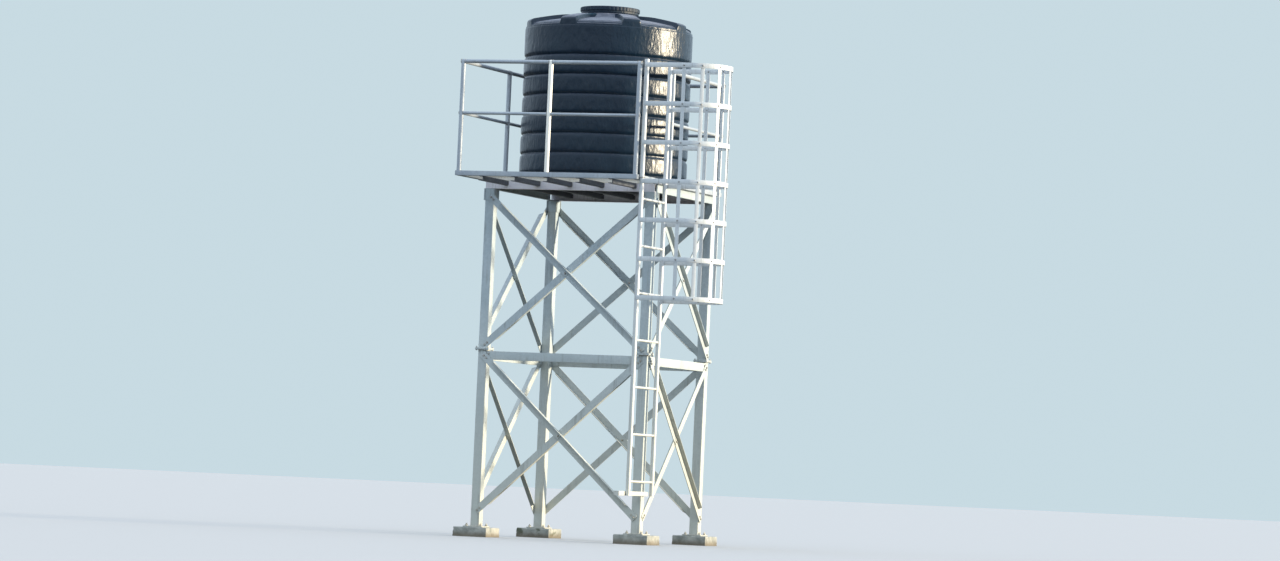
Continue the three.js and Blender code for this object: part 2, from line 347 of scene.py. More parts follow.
def blotchGroup():
    # cloudy patches, for fading, damp and mottled paint
    tree, given, out = newGroup("cloudyPatches", {"Scale": 3.0, "Low": 0.4, "High": 0.65, "Detail": 6.0},
                                ["Mask"])
    cloud = noise(tree, given["Scale"], given["Detail"], rough=0.62)
    tree.links.new(ramped(tree, cloud, given["Low"], given["High"]), out["Mask"])
    return tree


def rustGroup():
    # pits: small cells, kept only inside cloudy patches, and worn edges found by the bevel's turned normal
    tree, given, out = newGroup("rustAndEdges", {"Scale": 90.0, "Spots": 0.16, "Edge": 0.004,
                                                 "Edge Amount": 1.0}, ["Spots", "Edges", "Height"])
    core = ramped(tree, less(tree, given["Spots"], cells(tree, given["Scale"])), 0.0, 0.05)
    spots = times(tree, core, ramped(tree, noise(tree, 7.0, 5.0), 0.56, 0.64))
    soft = putNode(tree, "Bevel", {"Radius": given["Edge"]}, samples=4).outputs["Normal"]
    flat = putNode(tree, "NewGeometry").outputs["Normal"]
    along = putNode(tree, "VectorMath", {0: soft, 1: flat}, operation="DOT_PRODUCT").outputs["Value"]
    worn = ramped(tree, less(tree, 1.0, along), 0.01, 0.09)
    chips = ramped(tree, noise(tree, 60.0, 4.0), 0.46, 0.6)
    edges = times(tree, times(tree, worn, chips), given["Edge Amount"])
    tree.links.new(spots, out["Spots"])
    tree.links.new(edges, out["Edges"])
    tree.links.new(times(tree, plus(tree, spots, edges), -1.0), out["Height"])
    return tree


def dustGroup():
    # dust that settles on faces that look up, and soil splashed up from the ground
    tree, given, out = newGroup("dustAndSplash", {"Dust": 0.6, "Splash Height": 0.35, "Splash": 0.8},
                                ["Dust", "Splash"])
    patchy = noise(tree, 14.0, 6.0, rough=0.65)
    upward = ramped(tree, upPart(tree, putNode(tree, "NewGeometry").outputs["Normal"]), 0.55, 0.98)
    uneven = plus(tree, times(tree, ramped(tree, patchy, 0.2, 0.8), 0.6), 0.4)
    tree.links.new(times(tree, times(tree, upward, given["Dust"]), uneven), out["Dust"])
    height = given["Splash Height"]
    ragged = less(tree, upPart(tree, objectPoint(tree)), times(tree, patchy, height))
    near = less(tree, 1.0, ramped(tree, ragged, times(tree, height, -0.4), height))
    tree.links.new(times(tree, near, given["Splash"]), out["Splash"])
    return tree


streaks, blotches, rust, dust = streakGroup(), blotchGroup(), rustGroup(), dustGroup()


def setInputs(node, values):
    # Splash_Height=0.3 sets the input called Splash Height
    for label, value in values.items():
        node.inputs[label.replace("_", " ")].default_value = value


def placeGroup(tree, group, **values):
    node = putNode(tree, "Group", node_tree=group)
    setInputs(node, values)
    return node.outputs


def newMaterial(name, **values):
    material = bpy.data.materials.new(name)
    material.use_nodes = True
    shader = material.node_tree.nodes["Principled BSDF"]
    setInputs(shader, values)
    return material, material.node_tree, shader.inputs


def feedShader(tree, inputs, colour, rough, height, strength, distance):
    bump = putNode(tree, "Bump", {"Height": height, "Strength": strength, "Distance": distance})
    for label, value in (("Base Color", colour), ("Roughness", rough), ("Normal", bump.outputs["Normal"])):
        feed(tree, inputs[label], value)


# Painted steel. The frame's look is the first, and the others say only where they differ.
# the last two values give a pale warm film and the height it reaches: partly dust and partly painted bounce
# light from the ground
frameLook = dict(paint=(0.42, 0.49, 0.53), faded=(0.52, 0.58, 0.61), shadow=(0.30, 0.36, 0.40), metal=0.1,
                 rough=0.45, fadeScale=2.2, mottle=0.35, grime=0.4, spots=0.14, spotScale=95.0, edges=0.5,
                 dust=0.45, splash=0.35, splashHeight=0.16, grain=0.8, film=0.55, dustAndBounceTop=3.2)
# a darker copy of the cage's paint for the rails and the platform edge: painted shade on parts the sun misses
railShadeLook = dict(frameLook, paint=(0.36, 0.40, 0.45), faded=(0.45, 0.49, 0.53), shadow=(0.27, 0.31, 0.36),
                grime=0.3, spots=0.12, rough=0.38)
# a lighter copy for the ladder, its cage and its bracket: painted sunlight, so that they stay white
cageSunlitLook = dict(railShadeLook, paint=(0.60, 0.63, 0.65), faded=(0.69, 0.71, 0.72), shadow=(0.50, 0.53, 0.56))
# lighter still for the platform's front and back beams: painted bounce light from the sunlit ground under
# them
beamBounceLook = dict(cageSunlitLook, paint=(0.84, 0.82, 0.90), faded=(0.88, 0.87, 0.92), shadow=(0.72, 0.70, 0.78))
# cream paint, lighter than the rails and partly a painted highlight of the sun: for the front middle post and
# the walkway mesh
creamSunlitLook = dict(railShadeLook, paint=(0.92, 0.88, 0.80), faded=(0.95, 0.92, 0.86), shadow=(0.80, 0.75, 0.67))
# near-black paint for the deck plate and the joists: painted shade under the platform
deckShadeLook = dict(frameLook, paint=(0.075, 0.085, 0.105), faded=(0.12, 0.13, 0.15), shadow=(0.05, 0.055, 0.07),
                grime=0.35, dust=0.85, rough=0.5)
# the walkway mesh is in the cream paint and kept clean: partly painted light, so that its underside reads as
# lit
gratingLitLook = dict(creamSunlitLook, grime=0.05, dust=0.0, rough=0.5)
boltLook = dict(frameLook, paint=(0.38, 0.39, 0.40), faded=(0.46, 0.47, 0.48), shadow=(0.24, 0.20, 0.17),
                metal=0.6, mottle=0.5, spots=0.22, spotScale=140.0, edges=0.2)
weldLook = dict(frameLook, paint=(0.43, 0.45, 0.47), shadow=(0.24, 0.17, 0.12), mottle=0.8, spots=0.25,
                spotScale=160.0, grain=2.0)
# the first colour is that film: partly dust and partly painted bounce light from the ground
wear = {"film": (0.60, 0.57, 0.45), "grime": (0.16, 0.15, 0.12), "dust": (0.42, 0.37, 0.28),
        "soil": (0.19, 0.135, 0.085), "worn": (0.24, 0.13, 0.07), "rust": (0.19, 0.075, 0.03)}


def paintedSteel(name, look):
    # weathered paint: fading in patches, grime in streaks, chips and spots of rust, soil near the ground
    material, tree, shader = newMaterial(name, IOR=1.45, Metallic=look["metal"])
    fade = placeGroup(tree, blotches, Scale=look["fadeScale"], Low=0.38, High=0.68)["Mask"]
    mottle = placeGroup(tree, blotches, Scale=45.0, Low=0.3, High=0.72)["Mask"]
    run = placeGroup(tree, streaks, Scale=38.0, Low=0.5, High=0.72, Break=5.0)["Mask"]
    rusty = placeGroup(tree, rust, Scale=look["spotScale"], Spots=look["spots"], Edge=0.003,
                       Edge_Amount=look["edges"])
    dirt = placeGroup(tree, dust, Dust=look["dust"], Splash_Height=look["splashHeight"],
                      Splash=look["splash"])
    # a pale warm film that thickens towards the ground: partly dried dust and partly painted bounce light
    # from the ground
    film = less(tree, 1.0, ramped(tree, upPart(tree, objectPoint(tree)), 0.2, look["dustAndBounceTop"]))
    colour = layered(tree, mixed(tree, fade, look["paint"], look["faded"]), [
        (times(tree, mottle, look["mottle"]), look["shadow"]),
        (times(tree, film, look["film"]), wear["film"]),
        (times(tree, run, look["grime"]), wear["grime"]),
        (dirt["Dust"], wear["dust"]), (dirt["Splash"], wear["soil"]),
        (rusty["Edges"], wear["worn"]), (rusty["Spots"], wear["rust"])])
    rough = plus(tree, look["rough"], times(tree, mottle, 0.12))
    rough = plus(tree, rough, times(tree, rusty["Spots"], 0.3), clamp=True)
    height = plus(tree, times(tree, noise(tree, 260.0), look["grain"]), rusty["Height"])
    feedShader(tree, shader, colour, rough, height, strength=0.35, distance=0.0012)
    return material


steelFrame = paintedSteel("steelFrame", frameLook)
steelRailShade = paintedSteel("steelRailShade", railShadeLook)
cageSteel = paintedSteel("cageSteel", cageSunlitLook)
beamSteel = paintedSteel("beamSteel", beamBounceLook)
creamSteelSunlit = paintedSteel("creamSteelSunlit", creamSunlitLook)
steelDeckShade = paintedSteel("steelDeckShade", deckShadeLook)
steelGratingLit = paintedSteel("steelGratingLit", gratingLitLook)
boltSteel = paintedSteel("boltSteel", boltLook)
weldSteel = paintedSteel("weldSteel", weldLook)


# the pale blue-grey colour on upward faces is partly dust and partly a painted reflection of the sky
plasticLook = {"body": (0.001, 0.012, 0.029), "sunned": (0.003, 0.017, 0.035), "dusty": (0.23, 0.235, 0.28),
               "chalk": (0.010, 0.026, 0.042), "rough": 0.30, "gloss": 0.37}


def blackPlastic(name, look):
    # moulded polyethylene: a soft gloss with a flow texture, sun-greyed patches, water marks, and settled
    # dust on faces that look up, tinted so that it is also a painted sky reflection
    material, tree, shader = newMaterial(name, IOR=1.5, Specular_IOR_Level=look["gloss"])
    patch = placeGroup(tree, blotches, Scale=1.6, Low=0.35, High=0.7)["Mask"]
    run = placeGroup(tree, streaks, Scale=24.0, Low=0.5, High=0.74, Break=3.0)["Mask"]
    smear = placeGroup(tree, blotches, Scale=16.0, Low=0.45, High=0.75, Detail=8.0)["Mask"]
    # dust on faces that look up, tinted pale blue-grey: partly dust and partly a painted reflection of the
    # sky
    dustAndSheen = placeGroup(tree, dust, Dust=0.9, Splash_Height=0.01, Splash=0.0)["Dust"]
    colour = layered(tree, mixed(tree, patch, look["body"], look["sunned"]),
                     [(times(tree, run, 0.35), look["chalk"]), (dustAndSheen, look["dusty"])])
    rough = plus(tree, look["rough"], times(tree, smear, 0.12))
    rough = plus(tree, rough, times(tree, dustAndSheen, 0.4), clamp=True)
    height = plus(tree, noise(tree, 22.0, 3.0, (1.0, 1.0, 0.5)), times(tree, noise(tree, 420.0), 0.05))
    feedShader(tree, shader, colour, rough, height, strength=0.8, distance=0.0095)
    return material


concreteLook = {"pale": (0.44, 0.43, 0.38), "dark": (0.25, 0.26, 0.235), "soil": (0.16, 0.13, 0.09),
                "moss": (0.07, 0.085, 0.04), "rough": 0.92}


def castConcrete(look):
    # cast concrete: cloudy greys, blow holes, moss in patches and soil near the ground
    material, tree, shader = newMaterial("castConcrete", IOR=1.45)
    cloud = placeGroup(tree, blotches, Scale=9.0, Low=0.35, High=0.68, Detail=9.0)["Mask"]
    moss = placeGroup(tree, blotches, Scale=6.0, Low=0.55, High=0.66, Detail=10.0)["Mask"]
    splash = placeGroup(tree, dust, Dust=0.5, Splash_Height=0.05, Splash=0.9)["Splash"]
    colour = layered(tree, mixed(tree, cloud, look["pale"], look["dark"]),
                     [(times(tree, moss, 0.8), look["moss"]), (splash, look["soil"])])
    height = plus(tree, noise(tree, 120.0, 8.0), ramped(tree, cells(tree, 55.0), 0.08, 0.2))
    feedShader(tree, shader, colour, look["rough"], height, strength=0.8, distance=0.003)
    return material


tankPlastic = blackPlastic("tankPlastic", plasticLook)
lidPlastic = blackPlastic("lidPlastic", {**plasticLook, "rough": 0.55})
concrete = castConcrete(concreteLook)
print("materials made")


# Bolts: a washer, a six-sided head or nut, and the end of the thread.
bolt = {"flats": 0.024, "head": 0.013, "washer": 0.019, "washerThick": 0.003, "thread": 0.008,
        "threadOut": 0.012}


def boltHead(factor=1.0, threaded=False):
    # [height, radius] turned about z, in twelve sides for the washer, six for the head and ten for the thread
    size = {key: value * factor for key, value in bolt.items()}
    low, r, w = size["washerThick"], size["flats"] / np.sqrt(3), size["washer"]
    high, t = low + size["head"], size["thread"]
    out = high + size["threadOut"]
    parts = [spun([[0, 0], [0, w], [low, w], [low, 0]], 12),
             spun([[low, 0], [low, r], [high - 0.15 * r, r], [high, 0.86 * r], [high, 0]], 6)]
    if threaded:
        parts.append(spun([[high, 0], [high, t], [out - 0.2 * t, t], [out, 0.7 * t], [out, 0]], 10))
    return stack(parts)


# Welds: a bead is a six-sided section whose thickness ripples along it.
bead = {"sides": 6, "ringRipple": 0.16, "ringWaves": 9, "ripple": 0.15, "turnPerMetre": 600, "step": 0.009,
        "taper": 14, "tip": 0.25}


def weldRing(centre, direction, radius, thick, sides=24):
    # a bead round a tube: out from its middle line by R + r cos b, along it by r sin b
    turn, around = wholeTurn(sides)[:, None, None], wholeTurn(bead["sides"])[:, None]
    direction = unit(direction)
    first, second = sidesOf(direction)
    ring = np.cos(turn) * first + np.sin(turn) * second
    r = thick * (1 + bead["ringRipple"] * np.sin(turn * bead["ringWaves"]))
    points = np.array(centre) + ring * (radius + r * np.cos(around)) + direction * (r * np.sin(around))
    return surface(points, wrapU=True, wrapV=True)


def weldLine(start, end, thick, normal):
    # a bead along an edge, thinner towards its ends: start + (end - start) s + r (across cos b + other sin b)
    start, end = arrays(start, end)
    length = np.linalg.norm(end - start)
    s = np.linspace(0, 1, max(5, int(length / bead["step"])))[:, None, None]
    along = unit(end - start)
    across = unit(np.cross(along, normal))
    around = wholeTurn(bead["sides"])[:, None]
    r = thick * np.clip(np.minimum(s, 1 - s) * bead["taper"], bead["tip"], 1)
    r = r * (1 + bead["ripple"] * np.sin(s * length * bead["turnPerMetre"]))
    section = np.cos(around) * across + np.sin(around) * np.cross(across, along)
    return capped(surface(start + (end - start) * s + r * section, wrapV=True), bead["sides"])


# The four sides of the tower, each as the turn in plan that brings the front side round to it.
sides = {"front": 0, "right": 1, "back": 2, "left": 3}
cornersOf = ["front_left", "front_right", "back_left", "back_right"]
squareRound = np.array([(-1, -1), (1, -1), (1, 1), (-1, 1)])        # the corners of a square in turn
ahead = np.array([0.0, -1.0, 0.0])


def turnPoints(points, quarter):
    # quarter turns about the tower's axis: (x, y) to (x cos t - y sin t, x sin t + y cos t)
    c, s = np.round([np.cos(quarter * np.pi / 2), np.sin(quarter * np.pi / 2)])
    return np.array(points) @ np.array([[c, s, 0], [-s, c, 0], [0, 0, 1]])


def turned(shape, quarter):
    points, faces = shape
    return turnPoints(points, quarter), faces


# Footings: rough cast blocks with worn edges, left flat where the foot plates stand.
footing = {"rough": 0.0035, "chip": 0.010, "worn": 0.012, "around": 96, "seat": 0.11, "roughSeed": 20,
           "chipSeed": 40, "roughSize": 0.05, "chipSize": 0.09, "chipFrom": 0.35, "topShare": 0.6}


def makeFootings(look):
    # a square in plan, radius half / max(|cos|, |sin|), carried over a rounded edge to the middle of the top
    turn = wholeTurn(look["around"])
    square = 1 / np.maximum(np.abs(np.cos(turn)), np.abs(np.sin(turn)))
    bend = np.linspace(0, np.pi / 2, 5)
    for number, corner in enumerate(cornersOf):
        low, high = placed("footing_" + corner)
        half, height = (high[0] - low[0]) / 2, high[2]
        reach = np.concatenate([[0], np.ones(6), 1 - look["worn"] / half * (1 - np.cos(bend)),
                                np.linspace(0.85, 0, 9)])
        rise = np.concatenate([[0, 0], np.linspace(0.12, 0.8, 5),
                               1 - look["worn"] / height * (1 - np.sin(bend)), np.ones(9)])
        plan = circle(turn)[:, None, :2] * square[:, None, None] * half * reach[:, None]
        levels = np.broadcast_to(rise[:, None] * height, (len(turn), len(rise), 1))
        points = np.concatenate([plan, levels], -1)
        chips = np.clip(lumps(points, look["roughSize"], look["roughSeed"] + number) + 1, 0, None)
        chips *= look["rough"]
        knocks = lumps(points, look["chipSize"], look["chipSeed"] + number) - look["chipFrom"]
        chips += np.clip(knocks, 0, 1) * look["chip"]
        outer = (square[:, None] * reach > 0.97) & (rise > 0)
        points[..., :2] -= unit(points[..., :2] + 1e-9) * (chips * outer)[..., None]
        openTop = (rise >= 0.999) & (np.abs(points[..., :2]).max(-1) >= look["seat"] + look["rough"])
        points[..., 2] -= chips * look["topShare"] * openTop
        points[..., :2] += (low[:2] + high[:2]) / 2
        dressNode("footing_" + corner, [surface(points, wrapU=True)], concrete, "concrete", sharp=50)


makeFootings(footing)
print("footings made")


# Legs: square tube on a foot plate with anchor bolts, a splice over the belts and plates round the head.
leg = {"section": 0.100, "corner": 0.009, "plate": 0.220, "plateThick": 0.012, "plateCorner": 0.008,
       "anchor": 0.080, "sunk": 0.004, "spliceAt": 1.968, "spliceSide": 0.158, "spliceThick": 0.010,
       "spliceCorner": 0.010, "spliceGap": 0.0006, "spliceBolt": 0.064, "headSide": 0.128, "headThick": 0.006,
       "headLow": 3.545, "headHigh": 3.6695, "bevel": 0.0010, "weld": 0.0045, "seamOut": 0.002,
       "seamOff": 0.001, "spliceBoltSize": 0.62}


def makeLegs(look):
    anchors, bolts, beads = [], [], []
    half, h, t = look["section"] / 2, look["headSide"] / 2, look["headThick"]
    thick, splice = look["spliceThick"], look["spliceAt"]
    spliceTop = splice + 2 * thick
    tubeWall = rectangle(look["section"], look["section"], look["corner"])
    spots = np.array([[i, j] for i in (-1, 1) for j in (-1, 1)])

    def plateOn(middle, side, low, thick, radius):
        return slab([*(middle - side / 2), low], [*(middle + side / 2), low + thick], radius)

    for corner in cornersOf:
        low, high = placed("leg_" + corner)
        middle = (low + high)[:2] / 2
        base, top = low[2], low[2] + look["plateThick"]
        shaft = carried(tubeWall, [[*middle, base + look["sunk"]], [*middle, high[2]]], [1, 0, 0], [0, 1, 0])
        foot = plateOn(middle, look["plate"], base, look["plateThick"], look["plateCorner"])
        flanges = [plateOn(middle, look["spliceSide"], z, thick, look["spliceCorner"])
                   for z in (splice, splice + thick + look["spliceGap"])]
        plates = []
        for facing in np.array([(1, 0), (-1, 0), (0, 1), (0, -1)]):
            along = np.abs(facing[::-1]) * h
            a, b = middle + facing * half - along, middle + facing * (half + t) + along
            plates.append(slab([*np.minimum(a, b), look["headLow"]], [*np.maximum(a, b), look["headHigh"]]))
        dressNode("leg_" + corner, [shaft, foot, *flanges, *plates], steelFrame, "steel_frame",
                  bevel=look["bevel"])
        anchors += [[*spot, top] for spot in middle + spots * look["anchor"]]
        bolts += [[*spot, spliceTop] for spot in middle + spots * look["spliceBolt"]]
        seam = middle + squareRound * (half + look["seamOut"])
        for a, b in zip(seam, np.roll(seam, -1, 0)):
            beads += [weldLine([*a, z], [*b, z], look["weld"], (0, 0, 1))
                      for z in (top, splice - look["seamOff"], spliceTop + look["seamOff"])]
    makePiece("anchorBolts", [copies(boltHead(1.0, True), anchors, [0, 0, 1])], boltSteel, "steel_frame")
    size = look["spliceBoltSize"]
    upper = copies(boltHead(size, True), bolts, [0, 0, 1])
    lower = copies(boltHead(size), np.array(bolts) - [0, 0, 2 * thick], [0, 0, -1])
    makePiece("spliceBolts", [upper, lower], boltSteel, "steel_frame")
    makePiece("legWelds", beads, weldSteel, "steel_frame")


makeLegs(leg)
print("legs made")


# Belts: angle section between the legs at half height, with a cleat and two bolts at each end.
belt = {"thick": 0.008, "root": 0.008, "toe": 0.0025, "cleat": 0.070, "cleatThick": 0.007, "cleatLow": 0.010,
        "boltIn": 0.022, "boltApart": 0.018, "boltSize": 0.6, "gap": 0.0003, "clear": 0.001, "bend": 0.0015}


def angleOutline(across, down, thick, root, toe, bend):
    # an L with its corner at the origin and its legs along +side and -height, toes rounded, root filleted
    corners = [(0, 0), (across, 0), (across, -thick), (thick, -thick), (thick, -down), (0, -down)]
    return roundCorners(corners, [bend, bend, toe, root, toe, bend])


def makeBelts(look):
    low, high = placed("belt_front")
    outline = angleOutline(*(high - low)[1:], look["thick"], look["root"], look["toe"], look["bend"])
    # the outline's side runs inwards from the outer face, its height down from the top
    shapes = [carried(outline, [[x, low[1], high[2]] for x in (low[0], high[0])], [0, 1, 0])]
    inner, level = low[1] + look["thick"], (low[2] + high[2]) / 2
    spots, bolts, normals = [], [], []
    for end in (-1, 1):
        face = abs(low[0]) * end
        near, far = sorted([face - end * look["cleat"], face])
        shapes.append(slab([near, inner + look["gap"], low[2] + look["cleatLow"]],
                           [far, inner + look["cleatThick"], high[2] - look["thick"] - look["clear"]]))
        spots += [[face - end * look["boltIn"], low[1], level + k * look["boltApart"]] for k in (-1, 1)]
    for side, quarter in sides.items():
        bolts += turnPoints(spots, quarter).tolist()
        normals += [turnPoints(ahead, quarter)] * len(spots)
        dressNode("belt_" + side, [turned(shape, quarter) for shape in shapes], steelFrame, "steel_frame",
                  bevel=rolled)
    makePiece("beltBolts", [copies(boltHead(look["boltSize"]), bolts, normals)], boltSteel, "steel_frame")


makeBelts(belt)
print("belts made")


# Braces: crossed bars of angle section. The inner one lies on the legs, flange inwards, the outer on packers.
brace = {"width": 0.075, "flange": 0.050, "thick": 0.007, "root": 0.006, "reach": 0.895, "coped": 0.790,
         "slope": 0.55, "packer": 0.080, "gap": 0.0003, "corner": 0.010, "bolts": (0.022, 0.058),
         "plate": 0.056, "plateThick": 0.005, "plateCorner": 0.006, "plateDown": 0.004, "boltSize": 0.72,
         "rootShare": 0.96, "packerIn": 0.003}
panels = {"lower": (0.267, 1.923), "upper": (2.007, 3.593)}


def braceShapes(look, levels, outer, face):
    # a bar on the front side: s runs along it, w up across it, and distances are out from the legs' faces
    rise, run = levels[1] - levels[0], 2 * look["reach"]
    length = np.hypot(rise, run)
    along, up = np.array([run, 0, rise]) / length, np.array([-rise, 0, run]) / length
    middle = np.array([0, -face, sum(levels) / 2])
    end, half, t = length / 2, look["width"] / 2, look["thick"]
    gap, c = look["gap"], look["corner"]
    inset = t + 2 * gap if outer else gap
    top = inset + t

    def plate(corners, near, far):
        # a flat plate with [s, w] corners, between two distances out from the legs
        return carried(np.array(corners), [middle + ahead * near, middle + ahead * far], along, up)

    flat = plate([(-end, c - half), (c - end, -half), (end - c, -half), (end, c - half),
                  (end, half - c), (end - c, half), (c - end, half), (-end, half - c)], inset, top)
    cope = look["coped"] * length / run
    reach, slope = look["flange"] - t, look["flange"] * look["slope"]
    sign, foot, face = (1, half - t, top) if outer else (-1, -half, inset)
    base = middle + ahead * face + up * foot
    rib = np.array([(-cope, 0), (cope, 0), (cope - slope, sign * reach), (slope - cope, sign * reach)])
    flange = carried(rib, [base, base + up * t], along, ahead)
    # the root between flat and flange: a quarter hollow, r (1 - cos a, 1 - sin a)
    hollow = look["root"] * (1 - circle(np.linspace(0, np.pi / 2, 5))[:, :2])
    hollow = np.concatenate([hollow, [[0, 0]]]) * [-sign, sign]
    corner, reach = base if outer else base + up * t, along * cope * look["rootShare"]
    shapes = [flat, flange, carried(hollow, [corner - reach, corner + reach], up, ahead)]
    spots = [middle + along * k * (end - d) + ahead * top for k in (-1, 1) for d in look["bolts"]]
    if outer:
        w = half - look["packerIn"]
        for k in (-1, 1):
            near, far = sorted([k * end, k * (end - look["packer"])])
            shapes.append(plate([(near, -w), (far, -w), (far, w), (near, w)], gap, inset - gap))
        cover = rectangle(look["plate"], look["plate"], look["plateCorner"]) - [0, look["plateDown"]]
        shapes.append(plate(cover, top + gap, top + look["plateThick"]))
        spots.append(middle + ahead * (top + look["plateThick"]) - up * look["plateDown"])
    return shapes, np.array(spots), middle


def makeBraces(look):
    bolts, normals, nuts, nutNormals = [], [], [], []
    face = -placed("belt_front")[0][1]
    mirror = np.array([-1, 1, 1])
    for side, quarter in sides.items():
        facing = turnPoints(ahead, quarter)
        for panel, levels in panels.items():
            for layer in ("inner", "outer"):
                shapes, spots, middle = braceShapes(look, levels, layer == "outer", face)
                if layer == "outer":
                    shapes = [(points * mirror, faces) for points, faces in shapes]
                    spots = spots * mirror
                    nuts.append(turnPoints(middle, quarter))
                    nutNormals.append(-facing)
                dressNode(f"brace_{side}_{panel}_{layer}", [turned(shape, quarter) for shape in shapes],
                          steelFrame, "steel_frame", bevel=rolled)
                bolts += turnPoints(spots, quarter).tolist()
                normals += [facing] * len(spots)
    heads = copies(boltHead(look["boltSize"]), bolts, normals)
    makePiece("braceBolts", [heads, copies(boltHead(look["boltSize"], True), nuts, nutNormals)], boltSteel,
              "steel_frame")


makeBraces(brace)
print("braces made")


# Platform steel: channel beams on the legs, channel joists across them and an angle round the edge.
platform = {"web": 0.006, "flange": 0.007, "root": 0.006, "overSide": 0.0013, "joists": 5, "pitch": 0.360,
            "joistWidth": 0.050, "joistDepth": 0.050, "joistWeb": 0.005, "joistFlange": 0.006,
            "joistRoot": 0.004, "edgeThick": 0.005, "edgeUpstand": 0.050, "edgeShelf": 0.065, "weld": 0.004,
            "joistClear": 0.002, "seamShort": 0.004, "seamOut": 0.0005, "seamUnder": 0.001}


def channelOutline(width, depth, web, flange, root):
    # a C, web along side 0, flanges towards +side at both heights, roots filleted and toes rounded
    w, d = width, depth / 2
    corners = [(0, -d), (w, -d), (w, -d + flange), (web, -d + flange), (web, d - flange), (w, d - flange),
               (w, d), (0, d)]
    return roundCorners(corners, [0.002, 0.0015, 0.003, root, root, 0.003, 0.0015, 0.002])


def makePlatform(look):
    low, high = placed("main_beam_left")
    frameLow, frameHigh = placed("platform_frame")
    reach, width, base = abs(low[0]), high[0] - low[0], low[2]
    sizes = look["web"], look["flange"], look["root"]
    section, level = channelOutline(width, high[2] - base, *sizes), (base + high[2]) / 2
    for side, sign in (("left", -1), ("right", 1)):
        bar = carried(section, [[sign * reach, y, level] for y in (low[1], high[1])], [-sign, 0, 0])
        dressNode("main_beam_" + side, [bar], steelFrame, "steel_frame", bevel=rolled)
    top = high[2] + look["overSide"]
    section, level = channelOutline(width, top - base, *sizes), (top + base) / 2
    beams = [carried(section, [[x, y, level] for x in (-reach, reach)], [0, -np.sign(y), 0])
             for y in (-reach, reach)]
    depth, half = look["joistDepth"], look["joistWidth"] / 2
    section = channelOutline(look["joistWidth"], depth, look["joistWeb"], look["joistFlange"],
                             look["joistRoot"])
    xs = (np.arange(look["joists"]) - (look["joists"] - 1) / 2) * look["pitch"]
    ends = frameLow[1] + look["edgeThick"], reach - look["joistClear"]
    joists = [carried(section, [[x + half, y, top - depth / 2] for y in ends], [-1, 0, 0]) for x in xs]
    # the joists are in the near-black deck paint, which is painted shade
    makePiece("platformJoists", joists, steelDeckShade, "steel_frame", ["platform_frame"], bevel=rolled)
    # the beams are in the lightest paint, which is painted bounce light
    makePiece("platformBeams", beams, beamSteel, "steel_frame", ["platform_frame"], bevel=rolled)
    # the edge angle: its section carried round the rectangle with mitred corners
    t, up, shelf = look["edgeThick"], look["edgeUpstand"], look["edgeShelf"]
    outline = roundCorners([(0, up), (t, up), (t, t), (shelf, t), (shelf, 0), (0, 0)],
                           [0.0008, 0.0015, 0.004, 0.0015, 0.0008, 0.001])
    plan = np.where(squareRound < 0, frameLow[:2], frameHigh[:2])
    path = np.column_stack([plan, np.full(4, frameHigh[2] - up)])
    rim = carried(outline, path, np.column_stack([-squareRound, np.zeros(4)]), closed=True)
    makePiece("platformEdge", [rim], steelRailShade, "steel_rail")
    beads, under, seam = [], top - depth, top - depth - look["seamUnder"]
    out = half + look["seamOut"]
    for x in xs:
        for y in (-reach, width - reach):
            seams = [([x + k, y, under], [x + k, y, top - look["seamShort"]]) for k in (-out, out)]
            seams.append(([x - half, y, seam], [x + half, y, seam]))
            beads += [weldLine(*pair, look["weld"], (0, 1, 0)) for pair in seams]
    makePiece("platformWelds", beads, weldSteel, "steel_frame")


makePlatform(platform)
print("platform made")


# Deck: a tread plate under the tank and a slit steel mesh along the walkway.
tread = {"pitch": 0.040, "length": 0.026, "width": 0.007, "height": 0.0016, "crest": 0.45, "corner": 0.004,
         "sunk": 0.00005}
grating = {"band": 0.004, "bearers": 3, "across": 0.034, "along": 0.080, "width": 0.0050, "thick": 0.0018,
           "twist": 62.0, "lap": 1.03}


def cellGrid(counts):
    # the place of each cell in a grid, counted in cells, and a sign that changes from one cell to the next
    cell = np.indices(counts).reshape(2, -1).T
    return cell, np.where(cell.sum(-1) % 2, -1.0, 1.0)


def makeDeckPlate(look):
    low, high = placed("deck_plate")
    # raised lozenges laid along and across by turns, each a low ridge with sloping sides
    counts = ((high - low)[:2] / look["pitch"]).astype(int)
    cell, sign = cellGrid(counts)
    plan = (cell - (counts - 1) / 2) * look["pitch"] + (low + high)[:2] / 2
    l, w, h = look["length"] / 2, look["width"] / 2, look["height"]
    crest = l * look["crest"]
    points = np.array([[-l, 0, 0], [0, -w, 0], [l, 0, 0], [0, w, 0], [-crest, 0, h], [crest, 0, h]])
    faces = np.array([[0, 1, 4], [1, 5, 4], [1, 2, 5], [2, 3, 5], [3, 4, 5], [0, 4, 3], [0, 3, 1], [1, 3, 2]])
    places = np.column_stack([plan, np.full(len(plan), high[2] - h - look["sunk"])])
    lozenges = copies((points, [faces]), places, [0, 0, 1], circle(-sign * np.pi / 4))
    # the tread plate is in the near-black deck paint, which is painted shade seen from below
    dressNode("deck_plate", [slab(low, high - [0, 0, h], look["corner"]), lozenges], steelDeckShade, "steel_deck",
              sharp=15)


